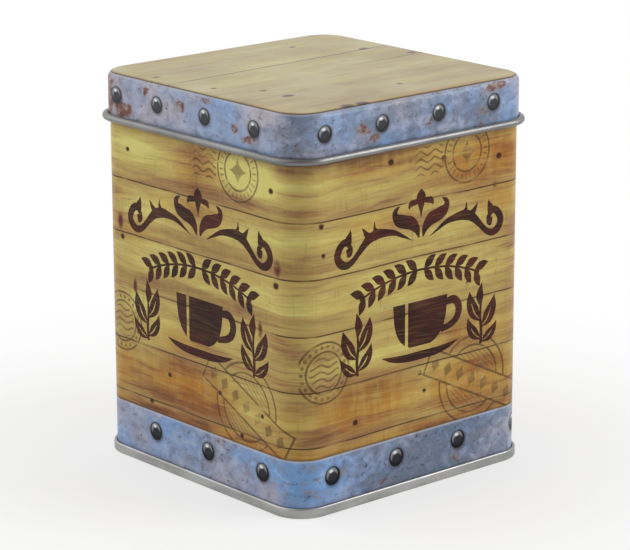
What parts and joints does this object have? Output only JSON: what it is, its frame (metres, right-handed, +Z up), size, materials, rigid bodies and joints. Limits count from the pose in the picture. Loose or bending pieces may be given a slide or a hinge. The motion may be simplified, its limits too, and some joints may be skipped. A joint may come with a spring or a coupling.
{
  "type": "tea caddy",
  "caption": "Square tinplate tea tin with rounded corners, a seamed-on base and a slip-over lid with a curled edge; plank and riveted-band print.",
  "frame": {"origin": "on the table, under the middle of the tin", "axes": "+Z up along the tin, +X out of the right-hand printed face, -Y out of the left-hand printed face"},
  "size_m": [0.0842, 0.0842, 0.1041],
  "materials": {
    "body_print": "satin varnish over printed tinplate",
    "lid_print": "satin varnish over printed tinplate",
    "bare_tin": "satin bare tinplate"
  },
  "bodies": {
    "body": {"body_shell": "body_print", "base_plate": "bare_tin"},
    "lid": {"lid": "lid_print"}
  },
  "joints": [
    {"name": "lid_lift", "type": "slide", "parent": "body", "child": "lid", "axis": [0, 0, 1], "range_m": [0, 0.05]}
  ]
}
